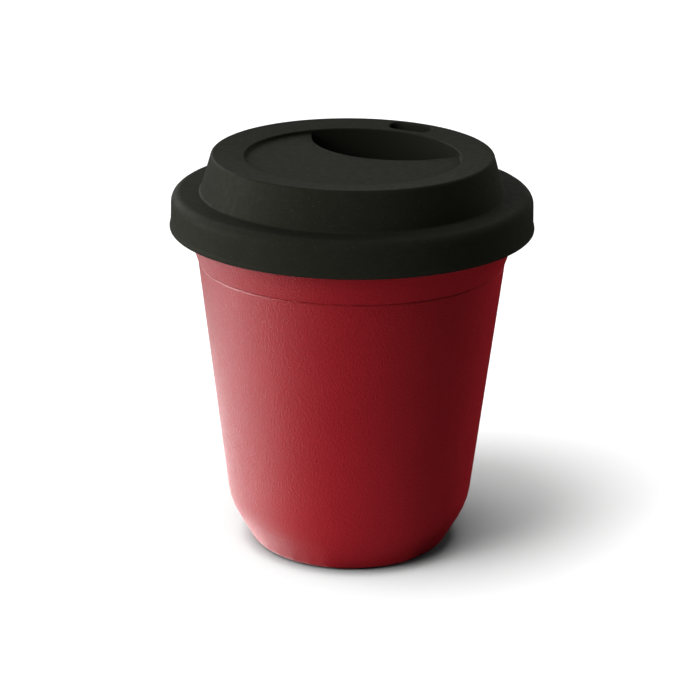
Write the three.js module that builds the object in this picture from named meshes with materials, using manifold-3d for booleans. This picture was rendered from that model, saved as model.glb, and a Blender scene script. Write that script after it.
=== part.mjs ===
// Lidded to-go cup: a double-walled cup with a rounded base and a soft one-piece drinking lid.
// Millimetres, +Z up. The origin is the centre of the foot. The sip slot is on the +Y side.
import * as THREE from 'three';
import { mergeVertices } from 'three/addons/utils/BufferGeometryUtils.js';
import Module from 'manifold-3d';

// Outer shell
const JOINT_HEIGHT = 77.3; // top edge of the shell, where the liner's collar sits
const JOINT_RADIUS = 39.7; // outside radius at that edge
const WALL_TAPER = 6.9; // degrees that the wall leans out
const CHAMFER_INSET = 5.3; // how far the base edge lies inside the line of the wall
const CHAMFER_HEIGHT = 11.6; // height at which the sloping base corner meets the wall
const CHAMFER_ROUND = 18; // blend from the base corner into the wall
const BASE_EDGE_ROUND = 4; // blend from the base corner into the foot
const FOOT_RING_WIDTH = 6.5; // from the base edge in to the hollow of the underside
const FOOT_RECESS = 1.0; // depth of that hollow
const SHELL_WALL = 1.8;

// Inner liner
const AIR_GAP = 4.0; // insulating space at the base
const LINER_WALL = 1.8;
const LINER_FLOOR_ROUND = 5;
const SPIGOT_DEPTH = 4.0; // part of the liner that locates inside the shell's top edge
const COLLAR_HEIGHT = 15.8; // from the joint up to the drinking rim
const FLARE_HEIGHT = 11.5; // part of the collar that leans out
const RIM_FLARE = 3.9; // how far the rim stands outside the joint
const RIM_WALL = 2.4;
const RIM_ROUND = 1.1;
const JOINT_EDGE_ROUND = 0.35; // softened edges on both sides of the joint line

// Fits
const SEAT_CLEARANCE = 0.3; // between pieces that rest on or locate in each other

// Lid outside
const SKIRT_DROP = 6.9; // skirt below the drinking rim
const SKIRT_WALL = 2.6;
const SKIRT_DRAFT = 0.2; // the skirt is this much wider at the bead than at the shoulder
const BEAD_PROUD = 0.3; // bead round the skirt's lower edge
const BEAD_HEIGHT = 1.4;
const BEAD_ROUND = 0.4;
const SHOULDER_WALL = 2.1;
const SHOULDER_ROUND = 2.6;
const SHOULDER_WIDTH = 7.4; // from the skirt in to the foot of the dome
const DOME_HEIGHT = 10.0;
const DOME_DRAFT = 2.9; // how much the dome narrows over its height
const DOME_FOOT_ROUND = 0.7;
const DOME_EDGE_ROUND = 0.8;
const RING_WIDTH = 8.4; // flat ring round the recess plate
const RING_DISH = 0.85; // fall of the ring towards the recess
const PLATE_DEPTH = 1.0; // recess plate below the ring's inner edge

// Lid underside
const DOME_WALL = 2.2;
const TOP_WALL = 2.0;
const PLUG_CLEARANCE = 0.8; // plug ring inside the rim, without its seal ribs
const PLUG_WALL = 2.2;
const PLUG_DROP = 4.4;
const PLUG_ROUND = 0.8;
const SEAL_RIB_COUNT = 2;
const SEAL_RIB_HEIGHT = 0.9;
const SKIRT_LEAD_IN = 0.6; // chamfer that guides the rim into the skirt

// Nose well and sip slot
const WELL_DEPTH = 7.4; // below the recess plate
const WELL_FRONT = 2.8; // from the lid's axis to the nearest point of the well
const WELL_ARC_RADIUS = 23.3;
const WELL_WALL = 1.6;
const SLOT_LENGTH = 12;
const SLOT_WIDTH = 5;

// Facets
const TURN_STEPS = 60; // round one full turn
const ROUND_STEP = THREE.MathUtils.degToRad(24); // widest angle along a rounded corner
const ARC_STEP = 2.5; // longest facet along a rounded corner
const EDGE_SHARE = 0.48; // most of an edge that one rounded corner may take
const CUT_MARGIN = 1; // cutting shapes run this far past the faces that they cut

const wasm = await Module();
wasm.setup();

// Outline of straight edges [radius, height, round], each round drawn as an arc tangent to its two edges.
function outline(corners) {
  const points = corners.map(([radius, height]) => new THREE.Vector2(radius, height));
  return points.flatMap((corner, i) => {
    const round = corners[i][2] ?? 0;
    if (round === 0) return [corner];
    const back = points[i - 1].clone().sub(corner);
    const ahead = points[i + 1].clone().sub(corner);
    const room = EDGE_SHARE * Math.min(back.length(), ahead.length());
    back.normalize();
    ahead.normalize();
    const half = Math.acos(THREE.MathUtils.clamp(back.dot(ahead), -1, 1)) / 2;
    const reach = Math.min(round / Math.tan(half), room);
    const centre = back.clone().add(ahead).setLength(reach / Math.cos(half)).add(corner);
    const start = back.clone().multiplyScalar(reach).add(corner);
    const turn = (Math.PI - 2 * half) * Math.sign(ahead.cross(back));
    const arcLength = reach * Math.tan(half) * Math.abs(turn);
    const steps = Math.ceil(Math.max(Math.abs(turn) / ROUND_STEP, arcLength / ARC_STEP));
    const angles = Array.from({ length: steps + 1 }, (_, k) => (turn * k) / steps);
    return angles.map((angle) => start.clone().rotateAround(centre, angle));
  });
}

// Solid from a closed geometry, with its shared vertices merged and collapsed triangles left out.
function solidFrom(geometry) {
  geometry.deleteAttribute('normal');
  geometry.deleteAttribute('uv');
  const merged = mergeVertices(geometry);
  const index = merged.index.array;
  const triangles = [];
  for (let i = 0; i < index.length; i += 3) {
    const [a, b, c] = index.slice(i, i + 3);
    if (a !== b && b !== c && c !== a) triangles.push(a, b, c);
  }
  return new wasm.Manifold(new wasm.Mesh({
    numProp: 3,
    vertProperties: Float32Array.from(merged.attributes.position.array),
    triVerts: Uint32Array.from(triangles),
  }));
}

// Solid of revolution about Z, from an outline that starts and ends on the axis.
function revolve(corners, centreY = 0) {
  const geometry = new THREE.LatheGeometry(outline(corners), TURN_STEPS);
  geometry.rotateX(Math.PI / 2);
  geometry.translate(0, centreY, 0);
  return solidFrom(geometry);
}

// Upright round bar, used to cut and to build up the nose well.
function bar(radius, bottom, top, centreY = 0) {
  return revolve([[0, bottom], [radius, bottom], [radius, top], [0, top]], centreY);
}

// Named mesh of a finished solid.
function piece(name, solid, material) {
  const { vertProperties, triVerts } = solid.getMesh();
  const geometry = new THREE.BufferGeometry();
  geometry.setAttribute('position', new THREE.BufferAttribute(vertProperties, 3));
  geometry.setIndex(new THREE.BufferAttribute(triVerts, 1));
  geometry.computeVertexNormals();
  const mesh = new THREE.Mesh(geometry, material);
  mesh.name = name;
  return mesh;
}

// Outside radius of the straight wall, continued to any height.
const wallSlope = Math.tan(THREE.MathUtils.degToRad(WALL_TAPER));
const wallRadius = (height) => JOINT_RADIUS - (JOINT_HEIGHT - height) * wallSlope;
const baseEdgeRadius = wallRadius(0) - CHAMFER_INSET;
const chamferSlope = (wallRadius(CHAMFER_HEIGHT) - baseEdgeRadius) / CHAMFER_HEIGHT;

// Base corner of a wall that lies a given depth inside the cup's outside face: floor, sloping corner, wall.
function baseCorner(depth, floorRound) {
  const wallShift = depth * Math.hypot(1, wallSlope);
  const chamferShift = depth * Math.hypot(1, chamferSlope);
  const floor = depth > 0 ? FOOT_RECESS + depth : 0;
  const knee = CHAMFER_HEIGHT + (chamferShift - wallShift) / (chamferSlope - wallSlope);
  return [
    [baseEdgeRadius - chamferShift + floor * chamferSlope, floor, floorRound],
    [wallRadius(knee) - wallShift, knee, CHAMFER_ROUND],
  ];
}
const shellInside = (height) => wallRadius(height) - SHELL_WALL * Math.hypot(1, wallSlope);

// Outer shell: tapered wall with a rounded base, closed below by a recessed floor.
function outerShell() {
  const footInside = baseEdgeRadius - FOOT_RING_WIDTH;
  return revolve([
    [0, FOOT_RECESS],
    [footInside - FOOT_RECESS, FOOT_RECESS],
    [footInside, 0],
    ...baseCorner(0, BASE_EDGE_ROUND),
    [JOINT_RADIUS, JOINT_HEIGHT, JOINT_EDGE_ROUND],
    [shellInside(JOINT_HEIGHT), JOINT_HEIGHT],
    ...baseCorner(SHELL_WALL, BASE_EDGE_ROUND - SHELL_WALL).reverse(),
    [0, FOOT_RECESS + SHELL_WALL],
  ]);
}

// Drinking rim, shared by the liner and the lid.
const rimTop = JOINT_HEIGHT + COLLAR_HEIGHT;
const rimRadius = JOINT_RADIUS + RIM_FLARE;
const rimInside = rimRadius - RIM_WALL;

// Inner liner: the drinking cup, with a spigot inside the shell's top edge and a collar that sits on it.
function innerLiner() {
  const outsideDepth = SHELL_WALL + AIR_GAP;
  const insideDepth = outsideDepth + LINER_WALL;
  const spigotFoot = JOINT_HEIGHT - SPIGOT_DEPTH;
  const collarFoot = JOINT_HEIGHT + SEAT_CLEARANCE;
  const flareTop = JOINT_HEIGHT + FLARE_HEIGHT;
  const spigotRadius = (height) => shellInside(height) - SEAT_CLEARANCE;
  return revolve([
    [0, FOOT_RECESS + outsideDepth],
    ...baseCorner(outsideDepth, LINER_FLOOR_ROUND),
    [spigotRadius(spigotFoot), spigotFoot],
    [spigotRadius(JOINT_HEIGHT), collarFoot],
    [wallRadius(collarFoot), collarFoot, JOINT_EDGE_ROUND],
    [rimRadius, flareTop, RIM_FLARE],
    [rimRadius, rimTop, RIM_ROUND],
    [rimInside, rimTop, RIM_ROUND],
    [rimInside, flareTop, RIM_FLARE],
    [spigotRadius(JOINT_HEIGHT) - LINER_WALL, JOINT_HEIGHT, CHAMFER_ROUND],
    ...baseCorner(insideDepth, LINER_FLOOR_ROUND).reverse(),
    [0, FOOT_RECESS + insideDepth],
  ]);
}

// Heights and radii of the lid, built up from the rim that it closes.
const grooveTop = rimTop + SEAT_CLEARANCE;
const skirtFoot = rimTop - SKIRT_DROP;
const skirtInside = rimRadius + SEAT_CLEARANCE;
const skirtOutside = skirtInside + SKIRT_WALL;
const shoulderTop = grooveTop + SHOULDER_WALL;
const domeFoot = skirtOutside - SHOULDER_WIDTH;
const domeTop = domeFoot - DOME_DRAFT;
const lidTop = shoulderTop + DOME_HEIGHT;
const recessRadius = domeTop - RING_WIDTH;
const ringInnerTop = lidTop - RING_DISH;
const plateTop = ringInnerTop - PLATE_DEPTH;
const wellFloor = plateTop - WELL_DEPTH;

// Revolved body of the lid: hollow top, plug ring, rim groove, skirt, shoulder, dome and ring.
function lidBody() {
  const domeSlope = DOME_DRAFT / DOME_HEIGHT;
  const ringUnder = ringInnerTop - TOP_WALL;
  const domeInside = (height) => domeFoot - DOME_WALL - (height - shoulderTop) * domeSlope;
  const stepRadius = recessRadius + TOP_WALL;
  const plugOutside = rimInside - PLUG_CLEARANCE;
  const plugInside = plugOutside - PLUG_WALL;
  const plugFoot = grooveTop - PLUG_DROP;
  const ribReach = PLUG_CLEARANCE - SEAT_CLEARANCE;
  const ribPitch = PLUG_DROP / (SEAL_RIB_COUNT + 1);
  const ribMiddles = Array.from({ length: SEAL_RIB_COUNT }, (_, i) => plugFoot + ribPitch * (i + 1));
  const ribs = ribMiddles.flatMap((middle) => [
    [plugOutside, middle - SEAL_RIB_HEIGHT / 2],
    [plugOutside + ribReach, middle],
    [plugOutside, middle + SEAL_RIB_HEIGHT / 2],
  ]);
  const beadFoot = skirtOutside + SKIRT_DRAFT;
  return revolve([
    [0, plateTop - TOP_WALL],
    [stepRadius, plateTop - TOP_WALL],
    [stepRadius, ringUnder],
    [domeInside(ringUnder), ringUnder],
    [domeInside(shoulderTop), shoulderTop],
    [plugInside, grooveTop],
    [plugInside, plugFoot],
    [plugOutside, plugFoot, PLUG_ROUND],
    ...ribs,
    [plugOutside, grooveTop],
    [skirtInside, grooveTop],
    [skirtInside, skirtFoot + SKIRT_LEAD_IN],
    [skirtInside + SKIRT_LEAD_IN, skirtFoot],
    [beadFoot + BEAD_PROUD, skirtFoot, BEAD_ROUND],
    [beadFoot + BEAD_PROUD, skirtFoot + BEAD_HEIGHT / 2],
    [beadFoot, skirtFoot + BEAD_HEIGHT],
    [skirtOutside, shoulderTop, SHOULDER_ROUND],
    [domeFoot, shoulderTop, DOME_FOOT_ROUND],
    [domeTop, lidTop, DOME_EDGE_ROUND],
    [recessRadius, ringInnerTop],
    [0, ringInnerTop],
  ]);
}

// Lens-shaped column where the recess circle and the well's own front arc overlap, both widened by a wall.
function lens(wall, bottom, top) {
  const frontArc = bar(WELL_ARC_RADIUS + wall, bottom, top, WELL_FRONT + WELL_ARC_RADIUS);
  return bar(recessRadius + wall, bottom, top).intersect(frontArc);
}

// Sip slot: round-ended cut through the ring, centred on the well.
function sipSlot() {
  const middle = recessRadius + RING_WIDTH / 2;
  const end = SLOT_WIDTH / 2;
  const half = SLOT_LENGTH / 2 - end;
  const shape = new THREE.Shape();
  shape.absarc(half, middle, end, -Math.PI / 2, Math.PI / 2);
  shape.absarc(-half, middle, end, Math.PI / 2, (3 * Math.PI) / 2);
  const bottom = ringInnerTop - TOP_WALL - CUT_MARGIN;
  const depth = lidTop + CUT_MARGIN - bottom;
  const geometry = new THREE.ExtrudeGeometry(shape, { depth, bevelEnabled: false, curveSegments: 8 });
  geometry.translate(0, 0, bottom);
  return solidFrom(geometry);
}

// Lid: one moulding with the recess, the nose well in its tub, and the sip slot.
function lid() {
  const cutTop = lidTop + CUT_MARGIN;
  const tub = lens(WELL_WALL, wellFloor - WELL_WALL, plateTop - TOP_WALL / 2);
  const recess = bar(recessRadius, plateTop, cutTop).add(lens(0, wellFloor, cutTop));
  return lidBody().add(tub).subtract(recess).subtract(sipSlot());
}

const cup = new THREE.Group();
cup.add(
  piece('outer_shell', outerShell(), new THREE.MeshStandardMaterial({ color: 0x93202a, roughness: 0.45 })),
  piece('inner_liner', innerLiner(), new THREE.MeshStandardMaterial({ color: 0x8f1f28, roughness: 0.4 })),
  piece('lid', lid(), new THREE.MeshStandardMaterial({ color: 0x23231f, roughness: 0.7 })),
);

export default cup;
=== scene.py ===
"""Looks of a lidded to-go cup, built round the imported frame.

The frame is in metres with +Z up. Its origin is the centre of the foot and the sip slot is on
the +Y side. Sizes of the pieces and of their grain are in millimetres and become metres when they
are drawn. The studio round them is in metres, degrees and watts.
"""
import logging
import math
from collections.abc import Callable, Sequence
from dataclasses import dataclass, field
from enum import Enum

import bpy
from mathutils import Matrix, Vector


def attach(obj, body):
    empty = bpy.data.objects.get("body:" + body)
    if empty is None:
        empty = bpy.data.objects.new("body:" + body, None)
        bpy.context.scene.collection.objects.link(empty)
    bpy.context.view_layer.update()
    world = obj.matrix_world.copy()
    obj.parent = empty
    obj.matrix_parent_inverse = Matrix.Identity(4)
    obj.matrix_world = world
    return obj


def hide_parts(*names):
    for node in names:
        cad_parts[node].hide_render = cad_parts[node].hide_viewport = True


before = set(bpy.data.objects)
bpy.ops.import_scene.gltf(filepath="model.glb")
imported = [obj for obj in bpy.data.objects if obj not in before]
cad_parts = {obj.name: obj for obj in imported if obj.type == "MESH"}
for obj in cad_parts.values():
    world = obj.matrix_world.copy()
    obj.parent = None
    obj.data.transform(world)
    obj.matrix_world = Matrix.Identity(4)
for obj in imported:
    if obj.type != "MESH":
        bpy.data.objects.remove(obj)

LOG = logging.getLogger("cup")

MM = 0.001
TURN_STEPS = 192  # facets round one full turn
SMALL_TURN_STEPS = 64  # facets round a short turned shape
TUB_TURN_STEPS = 96  # facets round the tub under the lid
ROUND_STEP = math.radians(10)  # widest angle along a rounded corner
LONGEST_FACET = 14.0  # millimetres along an outline
EDGE_SHARE = 0.48  # most of an edge that one rounded corner may take
MERGE_DISTANCE = 1e-7  # metres, below which two vertices are one
SMOOTH_ANGLE = math.radians(32)  # sharper edges stay crisp
CUT_MARGIN = 1.5  # cutting shapes run this far past the faces that they cut
FLARE_REACH = 3.0  # how far a cutter opens out past a rounded edge
FLARE_RISE = math.radians(10)  # angle at which that opening leaves the face
NORMAL_WEIGHT = 80  # how far large faces set the shading of their edges
COLLAR_SPECULAR = 0.22  # the liner's collar mirrors less than the shell's wall
NOISE_LOW = 0.3  # lower end of the range that noise mostly fills
NOISE_HIGH = 0.7  # its upper end
# The grain attribute also says where painted shade goes: the red plastic's pits and the lid's well.
GRAIN = "grain"  # attribute that says how much grain a vertex shows

Rgb = tuple[float, float, float]
Socket = bpy.types.NodeSocket
Input = float | tuple[float, ...] | Socket


class Body(Enum):
    """Bodies of the frame that pieces ride on."""

    CUP = "cup"
    LID = "lid"


class Slot(Enum):
    """Material slots of the record."""

    SHELL = "shell_plastic"
    LINER = "liner_plastic"
    LID = "lid_silicone"


class Merge(Enum):
    """Ways of putting two solids together."""

    CUT = "DIFFERENCE"
    JOIN = "UNION"
    COMMON = "INTERSECT"


@dataclass(frozen=True)
class Corner:
    """Corner of a turned outline: distance from the axis, height above the foot, and rounding."""

    radius: float
    height: float
    round: float = 0.0

    @property
    def place(self) -> Vector:
        """Corner as a flat vector."""
        return Vector((self.radius, self.height))


def rounded(before: Corner, corner: Corner, after: Corner) -> list[Vector]:
    """Draws a corner's arc, tangent to its two edges.

    Args:
        before: The corner that comes first.
        corner: The corner to be rounded.
        after: The corner that follows.

    Returns:
        Points along the arc, in the order of the outline.
    """
    if corner.round == 0:
        return [corner.place]
    back = before.place - corner.place
    ahead = after.place - corner.place
    room = EDGE_SHARE * min(back.length, ahead.length)
    back.normalize()
    ahead.normalize()
    half = back.angle(ahead) / 2
    reach = min(corner.round / math.tan(half), room)
    centre = corner.place + (back + ahead).normalized() * reach / math.cos(half)
    arm = corner.place + back * reach - centre
    turn = math.copysign(math.pi - 2 * half, ahead.x * back.y - ahead.y * back.x)
    arc_length = arm.length * abs(turn)
    steps = math.ceil(max(abs(turn) / ROUND_STEP, arc_length / LONGEST_FACET))
    return [centre + Matrix.Rotation(turn * i / steps, 2) @ arm for i in range(steps + 1)]


def outline(corners: list[Corner]) -> list[Vector]:
    """Draws an outline with rounded corners and no facet longer than the limit.

    Args:
        corners: Corners from the axis round to the axis again.

    Returns:
        Points of the outline.
    """
    drawn = [corners[0].place]
    for before, corner, after in zip(corners, corners[1:], corners[2:]):
        drawn += rounded(before, corner, after)
    drawn.append(corners[-1].place)
    points = [drawn[0]]
    for start, end in zip(drawn, drawn[1:]):
        parts = max(1, math.ceil((end - start).length / LONGEST_FACET))
        points += [start.lerp(end, (i + 1) / parts) for i in range(parts)]
    return points


def pick_only(thing: bpy.types.Object) -> None:
    """Deselects everything, then makes one object the selected and active one."""
    bpy.ops.object.select_all(action="DESELECT")
    thing.select_set(True)
    bpy.context.view_layer.objects.active = thing


def clean(thing: bpy.types.Object) -> None:
    """Merges doubled vertices, removes collapsed faces and turns all faces outwards."""
    pick_only(thing)
    bpy.ops.object.mode_set(mode="EDIT")
    bpy.ops.mesh.select_all(action="SELECT")
    bpy.ops.mesh.remove_doubles(threshold=MERGE_DISTANCE)
    bpy.ops.mesh.dissolve_degenerate(threshold=MERGE_DISTANCE)
    bpy.ops.mesh.select_all(action="SELECT")
    bpy.ops.mesh.normals_make_consistent(inside=False)
    bpy.ops.object.mode_set(mode="OBJECT")


def lathe(
    name: str, corners: list[Corner], steps: int = TURN_STEPS, centre_y: float = 0.0
) -> bpy.types.Object:
    """Draws an outline by extruding one vertex and spins it about an upright axis.

    Args:
        name: Name of the new object.
        corners: Outline from the axis round to the axis again.
        steps: Facets round one full turn.
        centre_y: Where the axis stands on the Y axis.

    Returns:
        The closed solid.
    """
    points = [Vector((p.x * MM, centre_y * MM, p.y * MM)) for p in outline(corners)]
    bpy.ops.object.select_all(action="DESELECT")
    bpy.ops.mesh.primitive_plane_add(size=MM)
    turned = bpy.context.object
    turned.name = name
    turned.data.name = name
    bpy.ops.object.mode_set(mode="EDIT")
    bpy.ops.mesh.select_all(action="SELECT")
    bpy.ops.mesh.merge(type="CENTER")
    bpy.ops.transform.translate(value=points[0])
    for start, end in zip(points, points[1:]):
        bpy.ops.mesh.extrude_region_move(TRANSFORM_OT_translate={"value": end - start})
    bpy.ops.mesh.select_all(action="SELECT")
    bpy.ops.mesh.spin(steps=steps, angle=math.tau, center=(0, centre_y * MM, 0), axis=(0, 0, 1))
    bpy.ops.object.mode_set(mode="OBJECT")
    clean(turned)
    return turned


def combine(target: bpy.types.Object, tool: bpy.types.Object, merge: Merge) -> None:
    """Applies a boolean modifier to one solid and deletes the tool.

    Args:
        target: Solid that is changed.
        tool: Solid that cuts it, joins it or bounds it.
        merge: What the tool does.
    """
    pick_only(target)
    modifier = target.modifiers.new(merge.name.lower(), "BOOLEAN")
    modifier.operation = merge.value
    modifier.solver = "EXACT"
    modifier.object = tool
    bpy.ops.object.modifier_apply(modifier=modifier.name)
    pick_only(tool)
    bpy.ops.object.delete()


def smooth(thing: bpy.types.Object) -> None:
    """Shades smoothly by angle, with large faces keeping their own normals."""
    pick_only(thing)
    bpy.ops.object.shade_smooth_by_angle(angle=SMOOTH_ANGLE)
    modifier = thing.modifiers.new("weighted", "WEIGHTED_NORMAL")
    modifier.keep_sharp = True
    modifier.weight = NORMAL_WEIGHT
    bpy.ops.object.modifier_apply(modifier=modifier.name)


def mark_grain_and_shade(thing: bpy.types.Object, share: Callable[[Vector], float]) -> None:
    """Stores how much of the moulded grain each vertex shows, and so where painted shade goes.

    Args:
        thing: Piece whose vertices are marked.
        share: Function of a place in millimetres that returns 0 to 1.
    """
    attribute = thing.data.attributes.new(GRAIN, "FLOAT", "POINT")
    for vertex, value in zip(thing.data.vertices, attribute.data):
        value.value = share(vertex.co / MM)


class Canvas:
    """Node tree of one material, drawn with short calls.

    A Mix node has several sockets of one name, so those for colours are given by number.
    """

    MIX_FIRST = 6
    MIX_SECOND = 7
    MIX_RESULT = 2

    def __init__(self, name: str) -> None:
        """Starts a material with nothing but the piece's own coordinates.

        Args:
            name: Name of the material.
        """
        self.material = bpy.data.materials.new(name)
        self.material.use_nodes = True
        self.tree = self.material.node_tree
        self.tree.nodes.clear()
        self.place = self.add("ShaderNodeTexCoord").outputs["Object"]

    def add(
        self, kind: str, inputs: dict[str | int, Input] | None = None, **settings: object
    ) -> bpy.types.Node:
        """Adds a node and fills its sockets.

        Args:
            kind: Type of the node.
            inputs: Sockets by name or number, each given a constant or another node's output.
            settings: Properties of the node itself.

        Returns:
            The new node.
        """
        node = self.tree.nodes.new(kind)
        for key, value in settings.items():
            setattr(node, key, value)
        for key, value in (inputs or {}).items():
            if isinstance(value, Socket):
                self.tree.links.new(value, node.inputs[key])
            else:
                node.inputs[key].default_value = value
        return node

    def compute(self, operation: str, first: Input, second: Input) -> Socket:
        """Adds a Math node and returns its output."""
        return self.add("ShaderNodeMath", {0: first, 1: second}, operation=operation).outputs[0]

    def weighed(self, first: Socket, part: float, second: Socket, other_part: float) -> Socket:
        """Adds up two values, each times its part, and returns the sum."""
        other = self.compute("MULTIPLY", second, other_part)
        return self.compute("ADD", self.compute("MULTIPLY", first, part), other)

    def span(self, value: Input, start: float, end: float, low: float, high: float) -> Socket:
        """Maps a value from one range to another, clamped, and returns the output."""
        inputs = {"Value": value, "From Min": start, "From Max": end, "To Min": low, "To Max": high}
        return self.add("ShaderNodeMapRange", inputs, clamp=True).outputs[0]

    def blend(self, factor: Input, first: Socket | Rgb, second: Socket | Rgb) -> Socket:
        """Mixes two colours and returns the output."""
        sides = [(*side, 1) if isinstance(side, tuple) else side for side in (first, second)]
        inputs = {"Factor": factor, self.MIX_FIRST: sides[0], self.MIX_SECOND: sides[1]}
        mix = self.add("ShaderNodeMix", inputs, data_type="RGBA", clamp_factor=True)
        return mix.outputs[self.MIX_RESULT]

    def noise(self, size: float, detail: float, rough: float = 0.5) -> Socket:
        """Adds noise whose patches are about a given size in millimetres and returns its value."""
        inputs = {"Vector": self.place, "Scale": 1 / (size * MM), "Detail": detail, "Roughness": rough}
        return self.add("ShaderNodeTexNoise", inputs).outputs[0]

    def patches(self, size: float, detail: float, low: float, high: float) -> Socket:
        """Adds noise that is spread from one value to another and returns it."""
        return self.span(self.noise(size, detail), NOISE_LOW, NOISE_HIGH, low, high)

    def cells(self, size: float, **settings: object) -> bpy.types.Node:
        """Adds cells that lie a given number of millimetres apart."""
        inputs = {"Vector": self.place, "Scale": 1 / (size * MM), "Randomness": 1.0}
        return self.add("ShaderNodeTexVoronoi", inputs, **settings)

    def grain_and_shade_share(self) -> Socket:
        """Returns how much grain the piece shows at each place, and so where painted shade goes."""
        return self.add("ShaderNodeAttribute", attribute_name=GRAIN).outputs["Fac"]

    def bump(self, height: Socket) -> Socket:
        """Turns a height in metres into a bent normal."""
        return self.add("ShaderNodeBump", {"Strength": 1.0, "Distance": 1.0, "Height": height}).outputs[0]

    def finish(self, shader: bpy.types.Node) -> bpy.types.Material:
        """Links the shader to the output and returns the material."""
        self.add("ShaderNodeOutputMaterial", {"Surface": shader.outputs[0]})
        return self.material


@dataclass(frozen=True)
class RedPlastic:
    """Moulded red plastic with a fine leathery grain outside, painted shade in the grain's pits, and a
    smooth face inside.
    """

    name: str
    deep: Rgb = (0.322, 0.0150, 0.0215)
    light: Rgb = (0.338, 0.0160, 0.0230)
    # Painted shade that darkens the grain's pits.
    pit_shade: Rgb = (0.10, 0.004, 0.006)
    pit_shade_share: float = 0.18
    pit_floor: float = 0.35
    pit_edge: float = 0.65
    patch: float = 14.0
    cell: float = 0.45
    cell_smoothness: float = 0.7
    cell_part: float = 0.6
    ripple: float = 0.36
    ripple_part: float = 0.6
    grain_height: float = 0.15
    tooth: float = 0.22
    tooth_height: float = 0.002
    rough_outside: float = 0.45
    rough_inside: float = 0.34
    rough_patch: float = 2.4
    rough_swing: float = 0.03
    ior: float = 1.5
    specular: float = 0.5

    def material(self) -> bpy.types.Material:
        """Draws the material.

        Returns:
            The finished material.
        """
        canvas = Canvas(self.name)
        share = canvas.grain_and_shade_share()
        cells = canvas.cells(self.cell, feature="SMOOTH_F1")
        cells.inputs["Smoothness"].default_value = self.cell_smoothness
        ripple = canvas.noise(self.ripple, detail=1.0)
        grain = canvas.weighed(cells.outputs["Distance"], self.cell_part, ripple, self.ripple_part)
        tone = canvas.patches(self.patch, detail=3.0, low=0.0, high=1.0)
        colour = canvas.blend(tone, self.deep, self.light)
        # Painted shade: the colour darkens towards the pit colour where the grain is low.
        pit_shading = canvas.span(grain, self.pit_floor, self.pit_edge, self.pit_shade_share, 0.0)
        shaded = canvas.blend(canvas.compute("MULTIPLY", pit_shading, share), colour, self.pit_shade)
        swing = self.rough_swing
        uneven = canvas.patches(self.rough_patch, detail=3.0, low=-swing, high=swing)
        rough = canvas.span(share, 0.0, 1.0, self.rough_inside, self.rough_outside)
        shown_grain = canvas.compute("MULTIPLY", grain, share)
        tooth = canvas.noise(self.tooth, detail=2.0)
        height = canvas.weighed(shown_grain, self.grain_height * MM, tooth, self.tooth_height * MM)
        return canvas.finish(canvas.add("ShaderNodeBsdfPrincipled", {
            "Base Color": shaded,
            "Roughness": canvas.compute("ADD", rough, uneven),
            "IOR": self.ior,
            "Specular IOR Level": self.specular,
            "Normal": canvas.bump(height),
        }))


@dataclass(frozen=True)
class LidSilicone:
    """Matte olive-black silicone with a soft mottle, a few light specks of dust and a painted shade inside
    the well.
    """

    name: str
    deep: Rgb = (0.0150, 0.0150, 0.0113)
    light: Rgb = (0.0220, 0.0220, 0.0168)
    speck: Rgb = (0.052, 0.052, 0.044)
    # Painted shade for the inside of the well, darker than the rest of the lid.
    well_shade: Rgb = (0.0126, 0.0126, 0.0098)
    mottle: float = 4.0
    mottle_part: float = 0.25
    tooth: float = 0.30
    tooth_part: float = 0.75
    tooth_height: float = 0.010
    fine_share: float = 0.6
    speck_pitch: float = 0.8
    speck_size: float = 0.15
    speck_limit: float = 0.45
    rough: float = 0.62
    rough_patch: float = 1.6
    rough_swing: float = 0.05
    ior: float = 1.43
    specular: float = 0.038
    tint: Rgb = (1.0, 1.0, 0.76)

    def material(self) -> bpy.types.Material:
        """Draws the material.

        Returns:
            The finished material.
        """
        canvas = Canvas(self.name)
        mottle = canvas.noise(self.mottle, detail=4.0, rough=self.fine_share)
        tooth = canvas.noise(self.tooth, detail=3.0, rough=self.fine_share)
        tone = canvas.weighed(mottle, self.mottle_part, tooth, self.tooth_part)
        colour = canvas.blend(canvas.span(tone, NOISE_LOW, NOISE_HIGH, 0.0, 1.0), self.deep, self.light)
        dots = canvas.cells(self.speck_pitch, feature="F1")
        near = canvas.span(dots.outputs["Distance"], self.speck_size / 2, self.speck_size, 1.0, 0.0)
        chosen = canvas.compute("GREATER_THAN", dots.outputs["Color"], self.speck_limit)
        dusty = canvas.blend(canvas.compute("MULTIPLY", near, chosen), colour, self.speck)
        swing = self.rough_swing
        uneven = canvas.patches(self.rough_patch, detail=3.0, low=-swing, high=swing)
        return canvas.finish(canvas.add("ShaderNodeBsdfPrincipled", {
            # Inside the well the colour is a darker painted shade instead of the dusty tone.
            "Base Color": canvas.blend(canvas.grain_and_shade_share(), self.well_shade, dusty),
            "Roughness": canvas.compute("ADD", uneven, self.rough),
            "IOR": self.ior,
            "Specular IOR Level": self.specular,
            "Specular Tint": (*self.tint, 1),
            "Normal": canvas.bump(canvas.compute("MULTIPLY", tooth, self.tooth_height * MM)),
        }))


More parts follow.
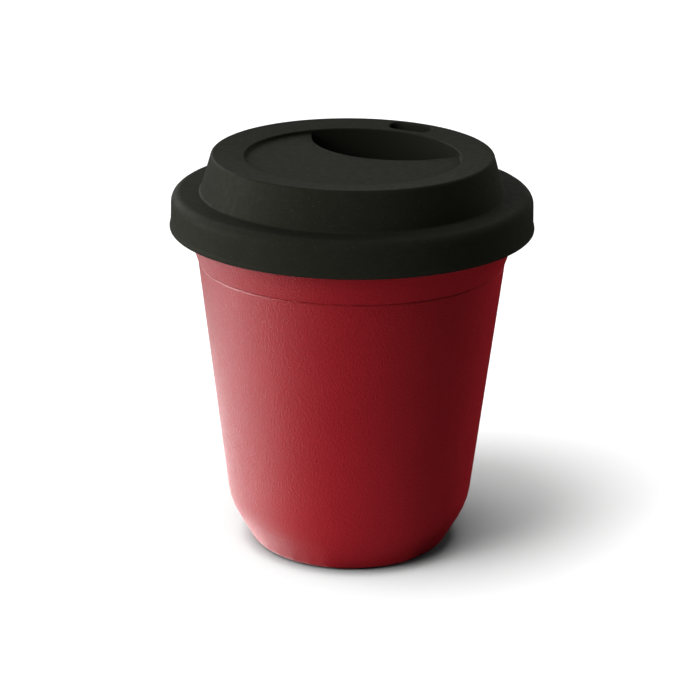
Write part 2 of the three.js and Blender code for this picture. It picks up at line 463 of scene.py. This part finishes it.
@dataclass(frozen=True)
class CupForm:
    """Outside form that the shell and the liner share."""

    joint_height: float = 77.3
    joint_radius: float = 39.7
    wall_taper: float = 6.9
    chamfer_inset: float = 5.3
    chamfer_height: float = 11.6
    chamfer_round: float = 18.0
    foot_recess: float = 1.0
    shell_wall: float = 1.8
    joint_gap: float = 0.01
    groove_depth: float = 0.25
    groove_half: float = 0.35
    groove_round: float = 0.08
    seat_clearance: float = 0.3
    rim_height: float = 93.1
    rim_radius: float = 43.6
    rim_wall: float = 2.4

    @property
    def wall_slope(self) -> float:
        """Widening of the straight wall for each millimetre of height."""
        return math.tan(math.radians(self.wall_taper))

    @property
    def base_edge(self) -> float:
        """Radius where the sloping base corner would meet the floor."""
        return self.wall_radius(0) - self.chamfer_inset

    @property
    def chamfer_slope(self) -> float:
        """Widening of the base corner for each millimetre of height."""
        return (self.wall_radius(self.chamfer_height) - self.base_edge) / self.chamfer_height

    def wall_radius(self, height: float) -> float:
        """Outside radius of the straight wall, continued to any height."""
        return self.joint_radius - (self.joint_height - height) * self.wall_slope

    def shell_inside(self, height: float) -> float:
        """Inside radius of the shell's straight wall."""
        return self.wall_radius(height) - self.shell_wall * math.hypot(1, self.wall_slope)

    def outside(self, height: float) -> float:
        """Outside radius of wall and base corner, without their rounding."""
        return min(self.wall_radius(height), self.base_edge + height * self.chamfer_slope)

    def base_corner(self, depth: float, floor_round: float) -> list[Corner]:
        """Draws the base corner of a wall that lies inside the cup's outside face.

        Args:
            depth: How far inside the outside face the wall lies.
            floor_round: Rounding between the floor and the base corner.

        Returns:
            Corners at the floor and at the wall.
        """
        wall_shift = depth * math.hypot(1, self.wall_slope)
        chamfer_shift = depth * math.hypot(1, self.chamfer_slope)
        floor = self.foot_recess + depth if depth > 0 else 0.0
        slopes = self.chamfer_slope - self.wall_slope
        knee = self.chamfer_height + (chamfer_shift - wall_shift) / slopes
        return [
            Corner(self.base_edge - chamfer_shift + floor * self.chamfer_slope, floor, floor_round),
            Corner(self.wall_radius(knee) - wall_shift, knee, self.chamfer_round),
        ]


@dataclass
class OuterShell:
    """Outer shell: tapered wall with a rounded base, closed below by a recessed floor."""

    form: CupForm
    base_edge_round: float = 4.0
    foot_ring_width: float = 6.5
    foot_round: float = 0.3
    gate_radius: float = 1.6
    gate_drop: float = 0.35
    gate_round: float = 0.15
    seat_round: float = 0.2
    piece: bpy.types.Object = field(init=False)

    def underside(self) -> list[Corner]:
        """Draws the recessed underside: gate mark and the inner edge of the foot ring.

        Returns:
            Corners from the axis out to the foot ring.
        """
        recess = self.form.foot_recess
        foot_inside = self.form.base_edge - self.foot_ring_width
        return [
            Corner(0, recess - self.gate_drop),
            Corner(self.gate_radius - self.gate_drop, recess - self.gate_drop, self.gate_round),
            Corner(self.gate_radius, recess, self.gate_round),
            Corner(foot_inside - recess, recess, self.foot_round),
            Corner(foot_inside, 0, self.foot_round),
        ]

    def build(self) -> bpy.types.Object:
        """Turns the shell.

        Returns:
            The shell's object.
        """
        form = self.form
        groove = form.joint_height - form.groove_half
        inside = form.base_corner(form.shell_wall, self.base_edge_round - form.shell_wall)
        corners = [
            *self.underside(),
            *form.base_corner(0, self.base_edge_round),
            Corner(form.wall_radius(groove), groove, form.groove_round),
            Corner(form.joint_radius - form.groove_depth, form.joint_height, form.groove_round),
            Corner(form.shell_inside(form.joint_height), form.joint_height, self.seat_round),
            *reversed(inside),
            Corner(0, form.foot_recess + form.shell_wall),
        ]
        self.piece = lathe("shell_moulding", corners)
        smooth(self.piece)
        mark_grain_and_shade(self.piece, self.grain_and_shade_share)
        return self.piece

    def grain_and_shade_share(self, place: Vector) -> float:
        """Grain, with its painted pit shade, on the outside face only."""
        return float(place.xy.length > self.form.outside(place.z) - self.form.shell_wall / 2)

    def dress(self, finish: RedPlastic) -> None:
        """Gives the shell its finish and its place in the frame.

        Args:
            finish: Finish of the shell.
        """
        self.piece.data.materials.append(finish.material())
        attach(self.piece, Body.CUP.value)
        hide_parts("outer_shell")


@dataclass
class InnerLiner:
    """Inner liner: the drinking cup, with a spigot in the shell's top edge and a flared collar."""

    form: CupForm
    air_gap: float = 4.0
    wall: float = 1.8
    floor_round: float = 5.0
    spigot_depth: float = 4.0
    spigot_round: float = 1.0
    seat_round: float = 0.1
    flare_height: float = 11.5
    flare_round: float = 3.9
    rim_round: float = 1.1
    gate_radius: float = 1.8
    gate_depth: float = 0.25
    gate_round: float = 0.12
    piece: bpy.types.Object = field(init=False)

    def build(self) -> bpy.types.Object:
        """Turns the liner.

        Returns:
            The liner's object.
        """
        form = self.form
        outside_depth = form.shell_wall + self.air_gap
        inside_depth = outside_depth + self.wall
        joint = form.joint_height
        spigot_foot = joint - self.spigot_depth
        collar_foot = joint + form.joint_gap
        groove = collar_foot + form.groove_half
        flare_top = joint + self.flare_height
        spigot_top_radius = form.shell_inside(joint) - form.seat_clearance
        rim_inside = form.rim_radius - form.rim_wall
        floor = form.foot_recess + inside_depth
        corners = [
            Corner(0, form.foot_recess + outside_depth),
            *form.base_corner(outside_depth, self.floor_round),
            Corner(form.shell_inside(spigot_foot) - form.seat_clearance, spigot_foot, self.spigot_round),
            Corner(spigot_top_radius, collar_foot, self.seat_round),
            Corner(form.wall_radius(collar_foot) - form.groove_depth, collar_foot, form.groove_round),
            Corner(form.wall_radius(groove), groove, form.groove_round),
            Corner(form.rim_radius, flare_top, self.flare_round),
            Corner(form.rim_radius, form.rim_height, self.rim_round),
            Corner(rim_inside, form.rim_height, self.rim_round),
            Corner(rim_inside, flare_top, self.flare_round),
            Corner(spigot_top_radius - self.wall, joint, form.chamfer_round),
            *reversed(form.base_corner(inside_depth, self.floor_round)),
            Corner(self.gate_radius, floor, self.gate_round),
            Corner(self.gate_radius - self.gate_depth, floor - self.gate_depth, self.gate_round),
            Corner(0, floor - self.gate_depth),
        ]
        self.piece = lathe("liner_moulding", corners)
        smooth(self.piece)
        mark_grain_and_shade(self.piece, self.grain_and_shade_share)
        return self.piece

    def grain_and_shade_share(self, place: Vector) -> float:
        """Grain, with its painted pit shade, on the outside of the collar, fading out over the drinking
        rim.
        """
        form = self.form
        above = place.z - form.joint_height
        middle = form.joint_radius - form.rim_wall / 2 + above * self.flare_round / self.flare_height
        outside = place.xy.length > min(middle, form.rim_radius - form.rim_wall / 2) and above > 0
        return float(outside) * min(1.0, max(0.0, (form.rim_height - place.z) / self.rim_round))

    def dress(self, finish: RedPlastic) -> None:
        """Gives the liner its finish and its place in the frame.

        Args:
            finish: Finish of the liner.
        """
        self.piece.data.materials.append(finish.material())
        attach(self.piece, Body.CUP.value)
        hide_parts("inner_liner")


@dataclass
class Lid:
    """One-piece soft lid: skirt, shoulder, dome, ring with recess plate, nose well and sip slot."""

    form: CupForm
    skirt_drop: float = 6.9
    skirt_wall: float = 2.6
    skirt_draft: float = 0.2
    bead_proud: float = 0.3
    bead_height: float = 1.4
    bead_round: float = 0.4
    bead_fade: float = 1.0
    shoulder_wall: float = 2.1
    shoulder_round: float = 2.6
    shoulder_width: float = 7.4
    dome_height: float = 10.0
    dome_draft: float = 2.9
    dome_foot_round: float = 0.7
    dome_edge_round: float = 0.8
    ring_width: float = 8.4
    ring_dish: float = 0.85
    plate_depth: float = 1.0
    dome_wall: float = 2.2
    top_wall: float = 2.0
    plug_clearance: float = 0.8
    plug_wall: float = 2.2
    plug_drop: float = 4.4
    plug_round: float = 0.8
    seal_rib_count: int = 2
    seal_rib_height: float = 0.9
    skirt_lead_in: float = 0.6
    well_depth: float = 7.4
    well_front: float = 2.8
    well_arc_radius: float = 23.3
    well_wall: float = 1.6
    well_floor_round: float = 0.7
    well_step: float = 0.02
    slot_length: float = 12.0
    slot_width: float = 5.0
    edge_round: float = 0.5
    fine_round: float = 0.25
    piece: bpy.types.Object = field(init=False)

    def __post_init__(self) -> None:
        """Works out the heights and radii from the rim that the lid closes."""
        form = self.form
        self.groove_top = form.rim_height + form.seat_clearance
        self.skirt_foot = form.rim_height - self.skirt_drop
        self.skirt_inside = form.rim_radius + form.seat_clearance
        self.skirt_outside = self.skirt_inside + self.skirt_wall
        self.shoulder_top = self.groove_top + self.shoulder_wall
        self.dome_foot = self.skirt_outside - self.shoulder_width
        self.dome_top = self.dome_foot - self.dome_draft
        self.top = self.shoulder_top + self.dome_height
        self.recess = self.dome_top - self.ring_width
        self.ring_inner_top = self.top - self.ring_dish
        self.plate_top = self.ring_inner_top - self.plate_depth
        self.well_floor = self.plate_top - self.well_depth
        self.ring_slope = math.atan2(self.ring_dish, self.ring_width)

    def dome_inside(self, height: float) -> float:
        """Inside radius of the dome's wall."""
        lean = (height - self.shoulder_top) * self.dome_draft / self.dome_height
        return self.dome_foot - self.dome_wall - lean

    def seal(self) -> list[Corner]:
        """Draws the plug ring that closes the rim, with its seal ribs.

        Returns:
            Corners from the plug's inner foot up to the top of the rim groove.
        """
        outside = self.form.rim_radius - self.form.rim_wall - self.plug_clearance
        inside = outside - self.plug_wall
        foot = self.groove_top - self.plug_drop
        reach = self.plug_clearance - self.form.seat_clearance
        pitch = self.plug_drop / (self.seal_rib_count + 1)
        half = self.seal_rib_height / 2
        corners = [
            Corner(inside, self.groove_top, self.plug_round),
            Corner(inside, foot, self.plug_round),
            Corner(outside, foot, self.plug_round),
        ]
        for rib in range(self.seal_rib_count):
            middle = foot + pitch * (rib + 1)
            corners += [
                Corner(outside, middle - half, self.fine_round),
                Corner(outside + reach, middle, self.fine_round),
                Corner(outside, middle + half, self.fine_round),
            ]
        return corners + [Corner(outside, self.groove_top, self.fine_round)]

    def body(self) -> bpy.types.Object:
        """Turns the lid without its recess, well and slot.

        Returns:
            The turned body.
        """
        ring_under = self.ring_inner_top - self.top_wall
        plate_under = self.plate_top - self.top_wall
        step = self.recess + self.top_wall
        bead = self.skirt_outside + self.skirt_draft
        proud = bead + self.bead_proud
        return lathe("lid_moulding", [
            Corner(0, plate_under),
            Corner(step, plate_under, self.fine_round),
            Corner(step, ring_under, self.fine_round),
            Corner(self.dome_inside(ring_under), ring_under, self.edge_round),
            Corner(self.dome_inside(self.shoulder_top), self.shoulder_top, self.edge_round),
            *self.seal(),
            Corner(self.skirt_inside, self.groove_top, self.fine_round),
            Corner(self.skirt_inside, self.skirt_foot + self.skirt_lead_in, self.fine_round),
            Corner(self.skirt_inside + self.skirt_lead_in, self.skirt_foot, self.fine_round),
            Corner(proud, self.skirt_foot, self.bead_round),
            Corner(proud, self.skirt_foot + self.bead_height / 2, self.bead_fade),
            Corner(bead, self.skirt_foot + self.bead_height, self.bead_fade),
            Corner(self.skirt_outside, self.shoulder_top, self.shoulder_round),
            Corner(self.dome_foot, self.shoulder_top, self.dome_foot_round),
            Corner(self.dome_top, self.top, self.dome_edge_round),
            Corner(self.recess, self.ring_inner_top),
            Corner(0, self.ring_inner_top),
        ])

    def opening(
        self, radius: float, floor: float, edge: float, floor_round: float, slope: float
    ) -> list[Corner]:
        """Draws a round cutter whose top opens out, so that the edge it cuts comes out rounded.

        Args:
            radius: Radius of the cut.
            floor: Height of its floor.
            edge: Height of the face whose edge is rounded.
            floor_round: Rounding round the floor.
            slope: Angle at which that face rises outwards.

        Returns:
            Outline of the cutter.
        """
        rise = FLARE_REACH * math.tan(slope + FLARE_RISE)
        top = self.top + CUT_MARGIN
        return [
            Corner(0, floor),
            Corner(radius, floor, floor_round),
            Corner(radius, edge, self.edge_round),
            Corner(radius + FLARE_REACH, edge + rise),
            Corner(radius + FLARE_REACH, top),
            Corner(0, top),
        ]

    def front_arc(self, corners: list[Corner], steps: int) -> bpy.types.Object:
        """Turns an outline about the upright axis of the well's front arc."""
        return lathe("well_front", corners, steps, self.well_front + self.well_arc_radius)

    def tub(self) -> bpy.types.Object:
        """Makes the lens-shaped tub under the plate, which holds the well.

        Returns:
            The solid tub.
        """
        wall = self.well_wall
        floor = self.well_floor - wall
        corner = self.well_floor_round + wall
        top = self.plate_top - self.top_wall / 2
        back = self.recess + wall
        front = self.well_arc_radius + wall
        tub = lathe("well_tub", [
            Corner(0, floor),
            Corner(back, floor, corner),
            Corner(back, top),
            Corner(0, top),
        ], TUB_TURN_STEPS)
        arc = self.front_arc([
            Corner(0, floor - self.well_step),
            Corner(front, floor - self.well_step, corner),
            Corner(front, top + CUT_MARGIN),
            Corner(0, top + CUT_MARGIN),
        ], TUB_TURN_STEPS)
        combine(tub, arc, Merge.COMMON)
        return tub

    def well_cutter(self) -> bpy.types.Object:
        """Makes the cutter of recess and well: a deep round recess, less the plate in front of the well.

        Returns:
            The cutter.
        """
        under = self.well_floor - CUT_MARGIN
        outside = self.recess + CUT_MARGIN
        cutter = lathe("recess_cutter", self.opening(
            self.recess, self.well_floor, self.ring_inner_top, self.well_floor_round, self.ring_slope
        ))
        plate = lathe("plate", [
            Corner(0, under),
            Corner(outside, under),
            Corner(outside, self.plate_top + CUT_MARGIN + self.fine_round),
            Corner(self.recess - self.fine_round, self.plate_top, self.fine_round),
            Corner(0, self.plate_top),
        ])
        floor = self.well_floor - self.well_step
        arc = self.opening(self.well_arc_radius, floor, self.plate_top, self.well_floor_round, 0.0)
        combine(plate, self.front_arc(arc, TURN_STEPS), Merge.CUT)
        combine(cutter, plate, Merge.CUT)
        return cutter

    def slot_cutter(self) -> bpy.types.Object:
        """Makes the sip slot's cutter: a round bar that is pulled apart and leans with the ring.

        Returns:
            The cutter.
        """
        middle = self.recess + self.ring_width / 2
        face = self.ring_inner_top + self.ring_dish / 2
        end = self.slot_width / 2
        pull = (self.slot_length / 2 - end) * MM
        cutter = lathe(
            "slot_cutter",
            self.opening(end, face - 2 * self.top_wall, face, 0.0, 0.0),
            SMALL_TURN_STEPS,
            middle,
        )
        centre = Vector((0, middle, face)) * MM
        pick_only(cutter)
        bpy.ops.object.mode_set(mode="EDIT")
        bpy.ops.mesh.select_all(action="SELECT")
        bpy.ops.transform.rotate(value=math.pi / SMALL_TURN_STEPS, orient_axis="Z", center_override=centre)
        for side in (-1, 1):
            bpy.ops.mesh.select_all(action="DESELECT")
            bpy.ops.object.mode_set(mode="OBJECT")
            # Vertices on the bar's axis go with one half only.
            for vertex in cutter.data.vertices:
                vertex.select = vertex.co.x * side > (0 if side < 0 else -MERGE_DISTANCE)
            bpy.ops.object.mode_set(mode="EDIT")
            bpy.ops.transform.translate(value=(side * pull, 0, 0))
        bpy.ops.mesh.select_all(action="SELECT")
        bpy.ops.transform.rotate(value=-self.ring_slope, orient_axis="X", center_override=centre)
        bpy.ops.object.mode_set(mode="OBJECT")
        return cutter

    def build(self) -> bpy.types.Object:
        """Turns the lid, builds up the well's tub and makes the cuts.

        Returns:
            The lid's object.
        """
        self.piece = self.body()
        combine(self.piece, self.tub(), Merge.JOIN)
        combine(self.piece, self.well_cutter(), Merge.CUT)
        combine(self.piece, self.slot_cutter(), Merge.CUT)
        clean(self.piece)
        smooth(self.piece)
        mark_grain_and_shade(self.piece, self.grain_and_shade_share)
        return self.piece

    def grain_and_shade_share(self, place: Vector) -> float:
        """Dusty grain everywhere but inside the well, where the colour is a painted shade."""
        front = Vector((0, self.well_front + self.well_arc_radius))
        behind_plate = (place.xy - front).length < self.well_arc_radius + self.fine_round
        under_ring = place.xy.length < self.recess + self.fine_round
        sunk = place.z < self.ring_inner_top - self.fine_round
        return float(not (behind_plate and under_ring and sunk))

    def dress(self, finish: LidSilicone) -> None:
        """Gives the lid its finish and its place in the frame.

        Args:
            finish: Finish of the lid.
        """
        self.piece.data.materials.clear()
        self.piece.data.materials.append(finish.material())
        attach(self.piece, Body.LID.value)
        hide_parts("lid")


class Shine(Enum):
    """What a lamp shows in: the matte part of a finish or its gloss."""

    MATTE = "matte"
    GLOSS = "gloss"


@dataclass(frozen=True)
class Softbox:
    """Large soft lamp that faces the middle of the cup.

    Angles are in degrees: azimuth goes left from the camera, elevation goes up from the floor.
    Power is in watts.
    """

    name: str
    azimuth: float
    elevation: float
    power: float
    shine: Shine
    width: float = 0.4
    height: float = 0.5
    distance: float = 0.8


@dataclass(frozen=True)
class Reflector:
    """White sheet on the floor beside the cup, which throws light up at it.

    It reaches from near to far along its azimuth, counted from the cup's axis, and is moved aside to
    the right, as seen from its far end. Glow is its radiance.
    """

    name: str
    azimuth: float
    near: float
    far: float
    length: float
    glow: float
    shine: Shine
    aside: float = 0.0


@dataclass(frozen=True)
class Skylight:
    """Broad even light on the floor, which gives it its soft shadow.

    Spread is the angle that the light fills, and strength is in watts for each square metre.
    """

    name: str
    azimuth: float
    elevation: float
    spread: float
    strength: float


@dataclass
class Studio:
    """Pale floor, soft lamps and the camera at the photograph's viewing angle."""

    pieces: list[bpy.types.Object]
    camera_azimuth: float = 28.5
    camera_distance: float = 0.650
    camera_height: float = 0.27919
    aim_height: float = 0.05197
    camera_roll: float = 0.623
    camera_lens: float = 134.98  # millimetres
    camera_sensor: float = 36.0  # millimetres
    camera_near: float = 0.01
    camera_shift: float = -0.00096
    floor_half: float = 2.5
    floor_round: float = 0.4
    floor_segments: int = 8
    floor_patch: float = 60.0  # millimetres
    floor_swing: float = 0.004
    floor_colour: Rgb = (0.60, 0.60, 0.60)
    floor_bounce: float = 0.01
    ambient: Rgb = (0.08, 0.08, 0.08)
    lamp_aim: float = 0.055
    sheet_step: float = 0.0001
    gloss_bounces: int = 4
    softboxes: tuple[Softbox, ...] = (
        Softbox("key", 55.0, 35.0, 3.8, Shine.MATTE),
        Softbox("low_left", 80.0, 10.0, 1.9, Shine.MATTE),
        Softbox("low_front", 45.0, 10.0, 1.1, Shine.MATTE),
        Softbox("back_rim", -130.0, 15.0, 5.8, Shine.MATTE),
        Softbox("back_fill", 168.0, 12.0, 2.2, Shine.MATTE),
        Softbox("side_gloss", 95.0, 10.0, 12.0, Shine.GLOSS),
        Softbox("back_gloss", 140.0, 25.0, 3.5, Shine.GLOSS),
        Softbox("backdrop_low", 180.0, 12.0, 0.8, Shine.GLOSS, width=1.0),
        Softbox("backdrop_high", 180.0, 50.0, 1.3, Shine.GLOSS, width=0.8),
    )
    reflectors: tuple[Reflector, ...] = (
        Reflector("near_left", 100.0, 0.0, 0.10, 0.20, 0.44, Shine.MATTE),
        Reflector("near_front", 50.0, 0.0, 0.10, 0.20, 0.25, Shine.MATTE),
        Reflector("wide_front", 0.0, 0.03, 0.50, 0.60, 0.42, Shine.MATTE),
        Reflector("near_right", -80.0, 0.03, 0.20, 0.30, 0.05, Shine.MATTE),
        Reflector("gloss_1", 126.0, -0.01, 0.14, 0.22, 0.22, Shine.GLOSS, 0.095),
        Reflector("gloss_2", 137.0, -0.01, 0.14, 0.22, 0.36, Shine.GLOSS, 0.095),
        Reflector("gloss_3", 148.0, -0.01, 0.15, 0.22, 0.85, Shine.GLOSS, 0.095),
        Reflector("gloss_4", 159.0, -0.01, 0.20, 0.22, 0.75, Shine.GLOSS, 0.095),
        Reflector("gloss_5", 170.0, -0.01, 0.20, 0.22, 0.16, Shine.GLOSS, 0.095),
        Reflector("gloss_6", 170.0, -0.01, 0.20, 0.22, 0.16, Shine.GLOSS, 0.102),
        Reflector("gloss_7", 170.0, -0.01, 0.20, 0.22, 0.16, Shine.GLOSS, 0.109),
        Reflector("gloss_8", 170.0, -0.01, 0.20, 0.22, 0.17, Shine.GLOSS, 0.116),
    )
    skylights: tuple[Skylight, ...] = (
        Skylight("floor_front", 45.0, 35.0, 25.0, 0.83),
        Skylight("floor_low", 60.0, 35.0, 25.0, 0.87),
        Skylight("floor_side", 45.0, 68.0, 25.0, 1.55),
        Skylight("floor_high", 68.0, 68.0, 60.0, 0.94),
        Skylight("floor_top", 60.0, 80.0, 60.0, 3.05),
        Skylight("floor_back", 120.0, 65.0, 60.0, 0.25),
    )
    lit: bpy.types.Collection = field(init=False)

    def direction(self, azimuth: float, elevation: float) -> Vector:
        """Direction from the cup, with the azimuth counted left from the camera."""
        turn = math.radians(self.camera_azimuth - azimuth)
        lift = math.radians(elevation)
        level = Vector((math.sin(turn), -math.cos(turn), 0)) * math.cos(lift)
        return level + Vector((0, 0, math.sin(lift)))

    def place_camera(self) -> None:
        """Adds the camera."""
        data = bpy.data.cameras.new("camera")
        data.lens = self.camera_lens
        data.sensor_width = self.camera_sensor
        data.shift_x = self.camera_shift
        data.clip_start = self.camera_near
        camera = bpy.data.objects.new("camera", data)
        bpy.context.scene.collection.objects.link(camera)
        level = self.direction(0, 0) * self.camera_distance
        camera.location = level + Vector((0, 0, self.camera_height))
        look = Vector((0, 0, self.aim_height)) - camera.location
        aim = look.to_track_quat("-Z", "Y").to_matrix()
        turn = aim @ Matrix.Rotation(math.radians(self.camera_roll), 3, "Z")
        camera.rotation_euler = turn.to_euler()
        bpy.context.scene.camera = camera

    def lay_floor(self) -> bpy.types.Object:
        """Lays the floor, a plain pale sheet with rounded corners.

        Returns:
            The floor's object.
        """
        bpy.ops.object.select_all(action="DESELECT")
        bpy.ops.mesh.primitive_plane_add(size=2 * self.floor_half)
        floor = bpy.context.object
        floor.name = "floor"
        bpy.ops.object.mode_set(mode="EDIT")
        bpy.ops.mesh.select_all(action="SELECT")
        bpy.ops.mesh.bevel(offset=self.floor_round, segments=self.floor_segments, affect="VERTICES")
        bpy.ops.object.mode_set(mode="OBJECT")
        canvas = Canvas("floor_paper")
        tone = canvas.patches(self.floor_patch, detail=2.0, low=0.0, high=1.0)
        darker = tuple(c - self.floor_swing for c in self.floor_colour)
        paper = canvas.blend(tone, darker, self.floor_colour)
        seen = canvas.add("ShaderNodeLightPath").outputs["Is Camera Ray"]
        weak = tuple(c * self.floor_bounce for c in self.floor_colour)
        shown = canvas.blend(seen, weak, paper)
        floor.data.materials.append(canvas.finish(canvas.add("ShaderNodeBsdfDiffuse", {"Color": shown})))
        floor.visible_glossy = False
        return floor

    def add_lamp(self, data: bpy.types.Light, place: Vector, turn: Sequence[float], shine: Shine) -> None:
        """Adds one lamp that lights the cup and not the floor.

        A matte lamp shows in no gloss and gives no bounce, so the floor's shadow stays grey.

        Args:
            data: The lamp's settings.
            place: Where it hangs.
            turn: Its turns about the three axes, in radians.
            shine: What the lamp shows in.
        """
        lamp = bpy.data.objects.new(data.name, data)
        bpy.context.scene.collection.objects.link(lamp)
        lamp.location = place
        lamp.rotation_euler = turn
        lamp.visible_camera = False
        lamp.visible_glossy = shine is Shine.GLOSS
        lamp.visible_diffuse = shine is Shine.MATTE
        data.cycles.use_multiple_importance_sampling = shine is Shine.GLOSS
        data.cycles.max_bounces = 0 if shine is Shine.MATTE else self.gloss_bounces
        lamp.light_linking.receiver_collection = self.lit

    def hang_softboxes(self) -> None:
        """Hangs the lamps that light the cup."""
        self.lit = bpy.data.collections.new("lit_pieces")
        for piece in self.pieces:
            self.lit.objects.link(piece)
        for box in self.softboxes:
            data = bpy.data.lights.new(box.name, "AREA")
            data.shape = "RECTANGLE"
            data.size = box.width
            data.size_y = box.height
            data.energy = box.power
            way = self.direction(box.azimuth, box.elevation)
            place = way * box.distance + Vector((0, 0, self.lamp_aim))
            self.add_lamp(data, place, (-way).to_track_quat("-Z", "Y").to_euler(), box.shine)

    def lay_reflectors(self) -> None:
        """Lays the sheets, each a little above the last, because lamps in one plane don't add up."""
        for layer, sheet in enumerate(self.reflectors, 1):
            data = bpy.data.lights.new(sheet.name, "AREA")
            data.shape = "RECTANGLE"
            data.size = sheet.length
            data.size_y = sheet.far - sheet.near
            data.energy = sheet.glow * math.pi * data.size * data.size_y
            way = self.direction(sheet.azimuth, 0)
            side = self.direction(sheet.azimuth - 90, 0) * sheet.aside
            middle = way * (sheet.near + sheet.far) / 2 + side
            turn = (math.pi, 0, math.atan2(way.y, way.x) - math.pi / 2)
            self.add_lamp(data, middle + Vector((0, 0, layer * self.sheet_step)), turn, sheet.shine)

    def open_skylights(self, floor: bpy.types.Object) -> None:
        """Adds the broad lamps that light the floor.

        Args:
            floor: The floor, which alone receives this light.
        """
        lit = bpy.data.collections.new("lit_floor")
        lit.objects.link(floor)
        for sky in self.skylights:
            data = bpy.data.lights.new(sky.name, "SUN")
            data.energy = sky.strength
            data.angle = math.radians(sky.spread)
            lamp = bpy.data.objects.new(sky.name, data)
            bpy.context.scene.collection.objects.link(lamp)
            way = self.direction(sky.azimuth, sky.elevation)
            lamp.rotation_euler = (-way).to_track_quat("-Z", "Y").to_euler()
            lamp.light_linking.receiver_collection = lit

    def fill_room(self) -> None:
        """Fills the room with weak grey light and shows it white to the camera."""
        world = bpy.data.worlds.new("room")
        bpy.context.scene.world = world
        world.use_nodes = True
        tree = world.node_tree
        tree.nodes.clear()
        path = tree.nodes.new("ShaderNodeLightPath")
        grey = tree.nodes.new("ShaderNodeBackground")
        grey.inputs["Color"].default_value = (*self.ambient, 1)
        white = tree.nodes.new("ShaderNodeBackground")
        white.inputs["Color"].default_value = (1, 1, 1, 1)
        mix = tree.nodes.new("ShaderNodeMixShader")
        output = tree.nodes.new("ShaderNodeOutputWorld")
        tree.links.new(path.outputs["Is Camera Ray"], mix.inputs[0])
        tree.links.new(grey.outputs[0], mix.inputs[1])
        tree.links.new(white.outputs[0], mix.inputs[2])
        tree.links.new(mix.outputs[0], output.inputs["Surface"])
        world.cycles_visibility.glossy = False

    def build(self) -> None:
        """Sets up the whole studio."""
        bpy.context.scene.view_settings.view_transform = "Standard"
        self.place_camera()
        floor = self.lay_floor()
        self.hang_softboxes()
        self.lay_reflectors()
        self.open_skylights(floor)
        self.fill_room()


def main() -> None:
    """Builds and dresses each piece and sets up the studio."""
    logging.basicConfig(level=logging.INFO, format="%(name)s: %(message)s")
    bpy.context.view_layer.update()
    form = CupForm()
    shell = OuterShell(form)
    liner = InnerLiner(form)
    lid = Lid(form)
    finishes = (
        RedPlastic("shell_red"),
        RedPlastic("liner_red", specular=COLLAR_SPECULAR),
        LidSilicone("lid_black"),
    )
    pieces = []
    for part, finish in zip((shell, liner, lid), finishes):
        pieces.append(part.build())
        part.dress(finish)
        LOG.info("%s: %d faces", part.piece.name, len(part.piece.data.polygons))
    Studio(pieces).build()


if __name__ == "__main__":
    main()
